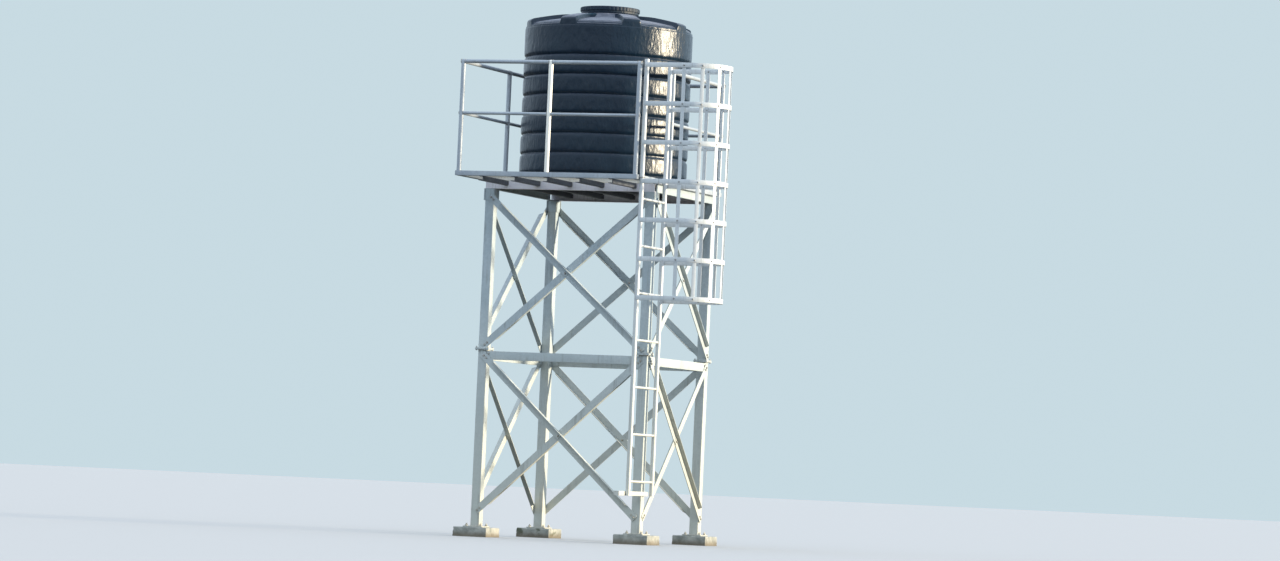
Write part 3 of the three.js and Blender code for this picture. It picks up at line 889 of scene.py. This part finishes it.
def makeWalkway(look):
    # the mesh panel: flat bars round it and across it, and slit strands that meet in long diamonds
    low, high = placed("walkway_grating")
    band, half = look["band"], look["band"] / 2
    xs = [low[0] + half, *np.linspace(low[0], high[0], look["bearers"] + 2)[1:-1], high[0] - half]
    bars = [slab([x - half, low[1] + band, low[2]], [x + half, high[1] - band, high[2] - look["thick"]])
            for x in xs]
    bars += [slab([low[0], y, low[2]], [high[0], y + band, high[2]]) for y in (low[1], high[1] - band)]
    size = (high - low)[:2]
    counts = (size / [look["across"] / 2, look["along"] / 2]).astype(int)
    cell, sign = cellGrid(counts)
    step = size / counts
    places = np.column_stack([low[:2] + (cell + 0.5) * step, np.full(len(cell), high[2] - look["width"] / 2)])
    first = unit(np.stack([0 * sign + step[0], sign * step[1], 0 * sign], -1))
    # each strand is twisted about its length, as slitting and pulling the sheet leaves it
    level = np.stack([first[:, 1] * sign, -first[:, 0] * sign, 0 * sign], -1)
    twist = np.radians(look["twist"])
    normal = np.cos(twist) * np.array([0, 0, 1.0]) - np.sin(twist) * level
    end = np.hypot(*step) * look["lap"] / 2
    strand = carried(rectangle(look["width"], look["thick"]), [[-end, 0, 0], [end, 0, 0]], [0, 1, 0])
    # the mesh's near-white paint is partly painted light on its underside
    dressNode("walkway_grating", [*bars, copies(strand, places, normal, first)], steelGratingLit, "steel_deck")


makeDeckPlate(tread)
makeWalkway(grating)
print("deck made")


# Guard rails: round posts and rails, welded where they meet. The solids' posts have ten flat sides.
rail = {"post": 0.024, "top": 0.021, "mid": 0.017, "topHeight": 4.949, "midHeight": 4.409, "weld": 0.0035,
        "sides": 24, "solidSides": 10, "leftPost": -0.349, "seamUp": 0.001, "seamIn": 0.002, "clear": 0.001}


def makeRails(look):
    frontLow, frontHigh = placed("guard_rail_front")
    base, radius, topHeight = frontLow[2], look["post"], look["topHeight"]
    seam = radius - look["seamIn"]
    sideX = (frontHigh[0] - frontLow[0]) / 2 - radius * np.cos(np.pi / look["solidSides"])
    frontY, backY = [placed("guard_rail_" + name)[:, 1].mean() for name in ("front", "back")]
    beads = []

    def post(x, y):
        # its head is a half ball: radius cos a, height above the top rail radius sin a
        beads.append(weldRing([x, y, base + look["seamUp"]], [0, 0, 1], radius, look["weld"]))
        bend = np.linspace(0, np.pi / 2, 6)
        head = np.stack([topHeight - base + radius * np.sin(bend), radius * np.cos(bend)], -1)
        return spun([[0, 0], [0, radius], *head], look["sides"], [x, y, base])

    def rails(start, end, joints):
        direction = unit([*np.subtract(end, start), 0])
        for z, r in ((topHeight, look["top"]), (look["midHeight"], look["mid"])):
            for joint in joints:
                beads.extend(weldRing(np.array([*joint, z]) + direction * k, direction, r, look["weld"])
                             for k in (-seam, seam))
            yield tube([*start, z], [*end, z], r, look["sides"])

    for name, y in (("front", frontY), ("back", backY)):
        left, middle, right = [(x, y) for x in (-sideX, 0.0, sideX)]
        shapes = [post(*left), post(*right), *rails(left, right, (left, middle, right))]
        # the rails are in the darker rail paint, which is painted shade
        dressNode("guard_rail_" + name, shapes, steelRailShade, "steel_rail")
        # the front middle post is painted cream: lighter paint than the rails, and also a painted highlight
        # of the sun on it
        paint = creamSteelSunlit if name == "front" else steelRailShade
        makePiece("middlePost" + name.capitalize(), [post(*middle)], paint, "steel_rail",
                  ["guard_rail_" + name])
    # the side rails run between the corner posts, but the right one starts at its own post behind the ladder
    clear = radius - look["clear"]
    rightY = placed("guard_rail_right")[0][1] + radius
    bays = {"left": (-sideX, look["leftPost"], frontY + clear), "right": (sideX, rightY, rightY)}
    for name, (x, spot, start) in bays.items():
        shapes = [post(x, spot), *rails((x, start), (x, backY - clear), [(x, spot)])]
        dressNode("guard_rail_" + name, shapes, steelRailShade, "steel_rail")
    makePiece("railWelds", beads, weldSteel, "steel_rail")


makeRails(rail)
print("rails made")


# Ladder: round stiles and rungs, clamped to the platform edge, its near stile held by a channel bracket.
ladder = {"stile": 0.024, "rung": 0.0125, "near": -1.570, "far": -0.870, "rungs": 7, "first": 0.651,
          "pitch": 0.485, "weld": 0.003, "clampAt": 3.779, "uBolt": 0.005, "uBoltIn": 0.016, "nutIn": 0.005,
          "sides": 24, "rungSides": 16, "solidSides": 12, "seamIn": 0.0015, "nutSize": 0.5}


def halfRound(count):
    # directions round half a circle about +x, the first and last of them twice, for straight legs
    bend = np.linspace(-np.pi / 2, np.pi / 2, count)
    return np.concatenate([[[0, -1, 0]], circle(bend), [[0, 1, 0]]])


def makeLadder(look):
    low, high = placed("ladder")
    near, far, radius = look["near"], look["far"], look["stile"]
    x = high[0] - radius * np.cos(np.pi / look["solidSides"])
    stiles = [tube([x, y, low[2]], [x, y, high[2]], radius, look["sides"]) for y in (near, far)]
    heights = look["first"] + np.arange(look["rungs"]) * look["pitch"]
    rungs = [tube([x, near, z], [x, far, z], look["rung"], look["rungSides"]) for z in heights]
    # the ladder is in the lighter cage paint, which is painted sunlight
    dressNode("ladder", [*stiles, *rungs], cageSteel, "steel_rail")
    inside = radius - look["seamIn"]
    beads = [weldRing([x, y, z], [0, 1, 0], look["rung"], look["weld"], look["rungSides"])
             for z in heights for y in (near + inside, far - inside)]
    makePiece("ladderWelds", beads, weldSteel, "steel_rail")
    # each clamp is a U of round bar about the stile, a half circle with straight legs to the platform's edge
    edgeX = placed("platform_frame")[1][0]
    reach, out = radius + look["uBolt"], halfRound(13)
    section = circle(wholeTurn(8))[:, :2] * look["uBolt"]
    clamps, nuts = [], []
    for y in (near, far):
        path = [x, y, look["clampAt"]] + out * reach
        path[[0, -1], 0] = edgeX - look["uBoltIn"]
        clamps.append(carried(section, path, out))
        nuts += [[edgeX - look["nutIn"], y + k * reach, look["clampAt"]] for k in (-1, 1)]
    clamps.append(copies(boltHead(look["nutSize"]), nuts, [-1, 0, 0]))
    makePiece("stileClamps", clamps, boltSteel, "steel_frame")


makeLadder(ladder)


# Foot bracket: a channel, flanges down, that runs out from the leg, with its front end closed.
bracket = {"thick": 0.006, "weld": 0.004, "seamSide": 0.009, "legOverlap": 0.060}


def makeFootBracket(look):
    low, high = placed("ladder_foot_bracket")
    t = look["thick"]
    outer, inner = [(low[0], high[0]), (low[0] + t, high[0] - t)]
    corners = [(outer[0], low[2]), (inner[0], low[2]), (inner[0], high[2] - t), (inner[1], high[2] - t),
               (inner[1], low[2]), (outer[1], low[2]), (outer[1], high[2]), (outer[0], high[2])]
    outline = roundCorners(corners, [0.001, 0.002, 0.004, 0.004, 0.002, 0.001, 0.004, 0.004])
    channel = carried(outline, [[0, low[1], 0], [0, high[1], 0]], [1, 0, 0])
    closing = slab([inner[0], low[1], low[2]], [inner[1], low[1] + t, high[2] - t])
    dressNode("ladder_foot_bracket", [channel, closing], cageSteel, "steel_frame", bevel=rolled)
    # welded to the near stile's side, and to the leg along its top and its end
    legFront = placed("leg_front_right")[0][1] + look["legOverlap"]
    seams = ladder["near"] - look["seamSide"], ladder["near"] + look["seamSide"]
    beads = [weldLine([high[0], y, low[2]], [high[0], y, high[2]], look["weld"], [1, 0, 0]) for y in seams]
    end = [low[0], high[1], high[2]]
    beads += [weldLine(start, end, look["weld"], [1, 0, 0.3])
              for start in ([low[0], legFront, high[2]], [low[0], high[1], low[2]])]
    makePiece("bracketWelds", beads, weldSteel, "steel_frame")


makeFootBracket(bracket)
print("ladder made")


# Cage: flat hoops round the climber, lined with straight straps and bolted where they cross.
cage = {"hoops": 7, "lowest": 2.540, "pitch": 0.400, "hoopWidth": 0.050, "thick": 0.006, "straps": 7,
        "strapWidth": 0.040, "strapThick": 0.005, "worn": 0.0012, "bend": 28, "nutIn": 0.0112,
        "nutSize": 0.42, "gap": 0.0002,
        "screw": [(0, 0), (0, 0.011), (0.003, 0.0095), (0.0055, 0.006), (0.0065, 0)]}


def makeCage(look):
    low, high = placed("ladder_cage")
    inner = (high[1] - low[1]) / 2 - look["thick"]
    outer, middleY = inner + look["thick"], (low[1] + high[1]) / 2
    roundX = high[0] - outer
    out = halfRound(look["bend"])

    def flatBar(near, far, width):
        h = width / 2
        return roundCorners([(near, -h), (far, -h), (far, h), (near, h)], look["worn"], 2)

    section = flatBar(inner, outer, look["hoopWidth"])
    heights = look["lowest"] + np.arange(look["hoops"]) * look["pitch"]
    hoops = []
    for z in heights:
        path = np.tile([roundX, middleY, z], (len(out), 1))
        path[[0, -1], 0] = low[0]
        hoops.append(carried(section, path, out))
    strapOuter = inner - look["gap"]
    section = flatBar(strapOuter - look["strapThick"], strapOuter, look["strapWidth"])
    straps, bolts, normals = [], [], []
    for facing in circle(np.radians(-90 + 180 * np.arange(look["straps"]) / (look["straps"] - 1))):
        sideways = [-facing[1], facing[0], 0]
        straps.append(carried(section, [[roundX, middleY, z] for z in (low[2], high[2])], facing, sideways))
        bolts += [[roundX, middleY, z] + facing * outer for z in heights]
        normals += [facing] * len(heights)
    # the cage is in the lighter cage paint, which is painted sunlight
    dressNode("ladder_cage", [*hoops, *straps], cageSteel, "steel_rail", bevel=rolled)
    head = spun(look["screw"], 12)
    bolts, normals = arrays(bolts, normals)
    inside = copies(boltHead(look["nutSize"]), bolts - normals * look["nutIn"], -normals)
    # the screws of the outermost strap are sunk flush
    proud = normals[:, 0] < 0.99
    makePiece("cageBolts", [copies(head, bolts[proud], normals[proud]), inside], boltSteel, "steel_rail")


makeCage(cage)
print("cage made")


# Tank: a floor, a wall of rounded bands between grooves, a roof with raised ribs round its neck, and the lid.
tank = {"radius": 0.895, "wall": 0.014, "around": 160, "lowestGroove": 3.866, "pitch": 0.208, "ribs": 7,
        "groove": 0.013, "grooveHalf": 0.012, "bulge": 0.009, "rows": 190}
roof = {"ribs": 8, "ribTurn": 36.3, "valley": 0.045, "valleyInset": 0.010, "ribTop": 5.5, "ribFoot": 7.2,
        "columns": 14, "rim": 0.8905, "edge": 0.872, "edgeHeight": 5.512, "middle": 0.500,
        "middleHeight": 5.584, "neck": 0.300, "neckBase": 5.602, "mouth": 0.275,
        "reachFrom": 0.035, "reachOver": 0.09, "fadeFrom": 0.075, "fadeOver": 0.05, "insetFrom": 0.02}


def lathe(profile, directions):
    # profile [radius, height] turned about the tower's axis
    profile = np.array(profile, float)
    return surface(profile[:, :1] * directions[:, None] + profile[:, 1:] * [0, 0, 1], wrapU=True)


def bandRadius(z, look):
    # radius - bulge * b^4 - groove * exp(-(d / half)^2), where d is the distance from the nearest groove, and
    # b is 1 at a groove and 0 midway between two
    step = (z - look["lowestGroove"]) / look["pitch"]
    near = np.clip(np.round(step), 0, look["ribs"] - 1)
    d = np.abs(step - near) * look["pitch"]
    b = np.clip(1 - 2 * d / look["pitch"], 0, 1)
    return look["radius"] - look["bulge"] * b ** 4 - look["groove"] * np.exp(-(d / look["grooveHalf"]) ** 2)


def makeTank(look):
    ring = circle(wholeTurn(look["around"]))
    low, high = placed("tank_bottom")
    floor = [[0, low[2]], [high[0], low[2]], [high[0], high[2]], [0, high[2]]]
    dressNode("tank_bottom", [lathe(floor, ring)], tankPlastic, "tank_plastic")
    low, high = placed("tank_wall")
    z = np.linspace(low[2] + 0.012, high[2] - 0.004, look["rows"])
    outer = np.stack([bandRadius(z, look), z], -1)
    radius, base = look["radius"], low[2]
    inner = radius - look["groove"] - look["bulge"] - look["wall"]
    profile = [[inner, base], [radius - 0.035, base], [radius - 0.018, base + 0.003], *outer,
               [outer[-1, 0] - 0.003, high[2]], [inner, high[2]], [inner, base]]
    dressNode("tank_wall", [lathe(profile, ring)], tankPlastic, "tank_plastic", sharp=40)


def roofProfile(look, base, top):
    # [radius, height] up the shoulder, over the edge, up a cone of height middle - fall * |t|^1.25, over the
    # neck's lip and back inside. With it, how many of its points are on the outer skin below the neck
    rim, edge, middle, neck, mouth = [look[key] for key in ("rim", "edge", "middle", "neck", "mouth")]
    edgeZ, middleZ, neckZ = look["edgeHeight"], look["middleHeight"], look["neckBase"]
    bend = np.linspace(0, np.pi / 2, 9)
    side = np.stack([np.full(6, rim), np.linspace(base, edgeZ - 0.034, 6)], -1)
    over = np.stack([rim - 0.030 * (1 - np.cos(bend)), edgeZ - 0.034 + 0.032 * np.sin(bend)], -1)
    r = np.linspace(rim - 0.034, neck + 0.030, 26)
    t = (r - middle) / (edge - middle)
    slope = np.where(r > middle, middleZ - (middleZ - edgeZ) * np.abs(t) ** 1.25,
                     middleZ + (neckZ - middleZ) * (middle - r) / (middle - neck))
    cone = np.stack([r, np.minimum(slope, neckZ)], -1)
    fillet = [[neck + 0.012, neckZ + 0.001], [neck + 0.004, neckZ + 0.006], [neck, neckZ + 0.014]]
    lip = [[neck, top - 0.003], [neck - 0.003, top], [mouth + 0.002, top], [mouth, top - 0.002]]
    under = [[mouth, neckZ - 0.060], [middle, middleZ - 0.056], [edge - 0.035, edgeZ - 0.066],
             [rim - 0.036, base]]
    return np.concatenate([side, over, cone, fillet, lip, under, side[:1]]), len(side) + len(over) + len(cone)


def makeRoof(look):
    # the profile is lowered between the ribs by valley * smoothstep(angle) * reach(radius)
    low, high = placed("tank_roof")
    pitch, ribTop, ribFoot = 360 / look["ribs"], look["ribTop"], look["ribFoot"]
    away = np.concatenate([np.linspace(-ribTop, ribTop, 5), np.linspace(ribTop, ribFoot, 6)[1:],
                           np.linspace(ribFoot, pitch - ribFoot, look["columns"])[1:],
                           np.linspace(pitch - ribFoot, pitch - ribTop, 6)[1:-1]])
    turn = np.radians(look["ribTurn"] + (np.arange(look["ribs"])[:, None] * pitch + away)).ravel()
    profile, skin = roofProfile(look, low[2], high[2])
    radius, height = profile.T
    nearRib = np.tile(np.minimum(np.abs(away), pitch - away), look["ribs"])
    rise = np.clip((nearRib - ribTop) / (ribFoot - ribTop), 0, 1)
    valley = (rise * rise * (3 - 2 * rise))[:, None]
    reach = np.clip((radius - look["neck"] - look["reachFrom"]) / look["reachOver"], 0, 1)
    reach = reach * (np.arange(len(profile)) < skin)
    reach = reach * np.clip((height - (look["edgeHeight"] - look["fadeFrom"])) / look["fadeOver"], 0, 1)
    inset = look["valleyInset"] * valley * (reach * (radius > look["edge"] - look["insetFrom"]))
    points = (radius - inset)[..., None] * circle(turn)[:, None]
    points[..., 2] = height - look["valley"] * valley * reach
    dressNode("tank_roof", [surface(points, wrapU=True)], tankPlastic, "tank_plastic", sharp=40)


makeTank(tank)
makeRoof(roof)


# Lid: a brim with grips over a narrower skirt that slips over the neck, and a low bow handle.
lid = {"rim": 0.318, "step": 0.011, "skirtWall": 0.005, "crownDown": 0.020, "under": 0.0203, "grips": 48,
       "gripDepth": 0.004, "handleOut": 0.140, "handleTurn": 206.0, "handleLength": 0.070,
       "handleWidth": 0.024, "handleThick": 0.012, "handleCorner": 0.005, "handleSunk": 0.008,
       "handleClear": 0.001, "handleHalf": 0.007,
       # the rings of the crown, each as radius and depth below its middle
       "crownRings": [(0.290, 0.006), (0.275, 0.003), (0.258, 0.002), (0.240, 0.006), (0.215, 0.006),
                      (0.200, 0.002), (0.120, 0), (0, 0)]}


def makeLid(look):
    low, high = placed("manhole_lid")
    turn = wholeTurn(look["grips"] * 6)
    crown, base, rim = high[2] - look["crownDown"], low[2], look["rim"]
    under, skirt = base + look["under"], rim - look["step"]
    inner = skirt - look["skirtWall"]
    bend = np.linspace(0, np.pi / 2, 6)
    edge = np.stack([rim - 0.012 * (1 - np.cos(bend)), crown - 0.019 + 0.012 * np.sin(bend)], -1)
    profile = [[0, under], [inner, under], [inner, base], [skirt - 0.001, base], [skirt, base + 0.001],
               [skirt, base + 0.022], [rim - 0.002, base + 0.024], [rim, base + 0.026], *edge,
               *[(r, crown - depth) for r, depth in look["crownRings"]]]
    radius, height = np.array(profile, float).T
    # grips: the rim's outer face is pulled in by a half wave round it
    outer = (radius > rim - 0.006) & (height > base + 0.023) & (height < crown - 0.012)
    grip = look["gripDepth"] * np.clip(np.cos(turn * look["grips"]), 0, 1)[:, None] * outer
    points = (radius - grip)[..., None] * circle(turn)[:, None]
    points[..., 2] = height
    # the handle: height = rise * sin(s)^0.7 over its length -cos(s)
    t, sunk = np.radians(look["handleTurn"]), look["handleSunk"]
    out, side = arrays([np.cos(t), np.sin(t), 0], [-np.sin(t), np.cos(t), 0])
    s = np.linspace(0, np.pi, 17)[:, None]
    foot = out * look["handleOut"] + [0, 0, crown - sunk]
    rise = high[2] - crown - look["handleClear"] + sunk - look["handleHalf"]
    path = foot - side * np.cos(s) * (look["handleLength"] / 2 - sunk) + [0, 0, 1] * (np.sin(s) ** 0.7 * rise)
    section = rectangle(look["handleWidth"], look["handleThick"], look["handleCorner"])
    upright = -np.cross(out, unit(np.gradient(path, axis=0)))
    handle = carried(section, path, out, upright)
    dressNode("manhole_lid", [surface(points, wrapU=True), handle], lidPlastic, "tank_plastic", body="lid",
              sharp=35)


makeLid(lid)
print("tank made")


# Studio: a pale floor under a pale sky, a low warm sun from the right, and a surround that lights from above.
studio = {"floorSize": 300.0, "floorLow": 0.0008, "floor": (0.47, 0.455, 0.44),
          "bounce": (0.070, 0.066, 0.050), "sky": (0.576, 0.706, 0.765), "zenith": (1.15, 1.35, 1.60),
          "horizon": (0.82, 1.00, 1.15), "sunTurn": 107.0, "sunRise": 5.5, "sunPower": 6.6,
          "sunSpread": 5.0, "sunColour": (1.0, 0.86, 0.63), "sunAway": 30.0, "sunAim": 3.2}


def seenOr(tree, seen, otherwise):
    # one colour where the camera sees it directly, another for all other rays
    direct = putNode(tree, "LightPath").outputs["Is Camera Ray"]
    return mixed(tree, direct, otherwise, seen)


def makeFloor(look):
    # seen directly it is pale, while what it throws back under the tower is as dim as soil
    mesh = bpy.data.meshes.new("studioFloor")
    corners = np.column_stack([squareRound * look["floorSize"], np.full(4, -look["floorLow"])])
    mesh.from_pydata(corners.tolist(), [], [[0, 1, 2, 3]])
    floor = newObject("studioFloor", mesh)
    material, tree, shader = newMaterial("studioFloor", Roughness=0.95)
    feed(tree, shader["Base Color"], seenOr(tree, look["floor"], look["bounce"]))
    mesh.materials.append(material)


def makeSurround(look):
    # an even pale sky to the camera, and to everything else a little brighter overhead than at the horizon
    world = bpy.data.worlds.new("studioSurround")
    world.use_nodes = True
    tree = world.node_tree
    direction = putNode(tree, "TexCoord").outputs["Generated"]
    lighting = mixed(tree, ramped(tree, upPart(tree, direction), 0.0, 0.8), look["horizon"], look["zenith"])
    feed(tree, tree.nodes["Background"].inputs["Color"], seenOr(tree, look["sky"], lighting))
    bpy.context.scene.world = world


def makeSun(look):
    data = bpy.data.lights.new("lowSun", "SUN")
    data.energy, data.angle, data.color = look["sunPower"], np.radians(look["sunSpread"]), look["sunColour"]
    a, e = np.radians(look["sunTurn"]), np.radians(look["sunRise"])
    out = np.array([np.sin(a) * np.cos(e), -np.cos(a) * np.cos(e), np.sin(e)])
    placeObject("lowSun", data, *sidesOf(out), out, axis + [0, 0, look["sunAim"]] + out * look["sunAway"])


makeFloor(studio)
makeSurround(studio)
makeSun(studio)
bpy.context.scene.view_settings.view_transform = "Standard"
print("studio made")
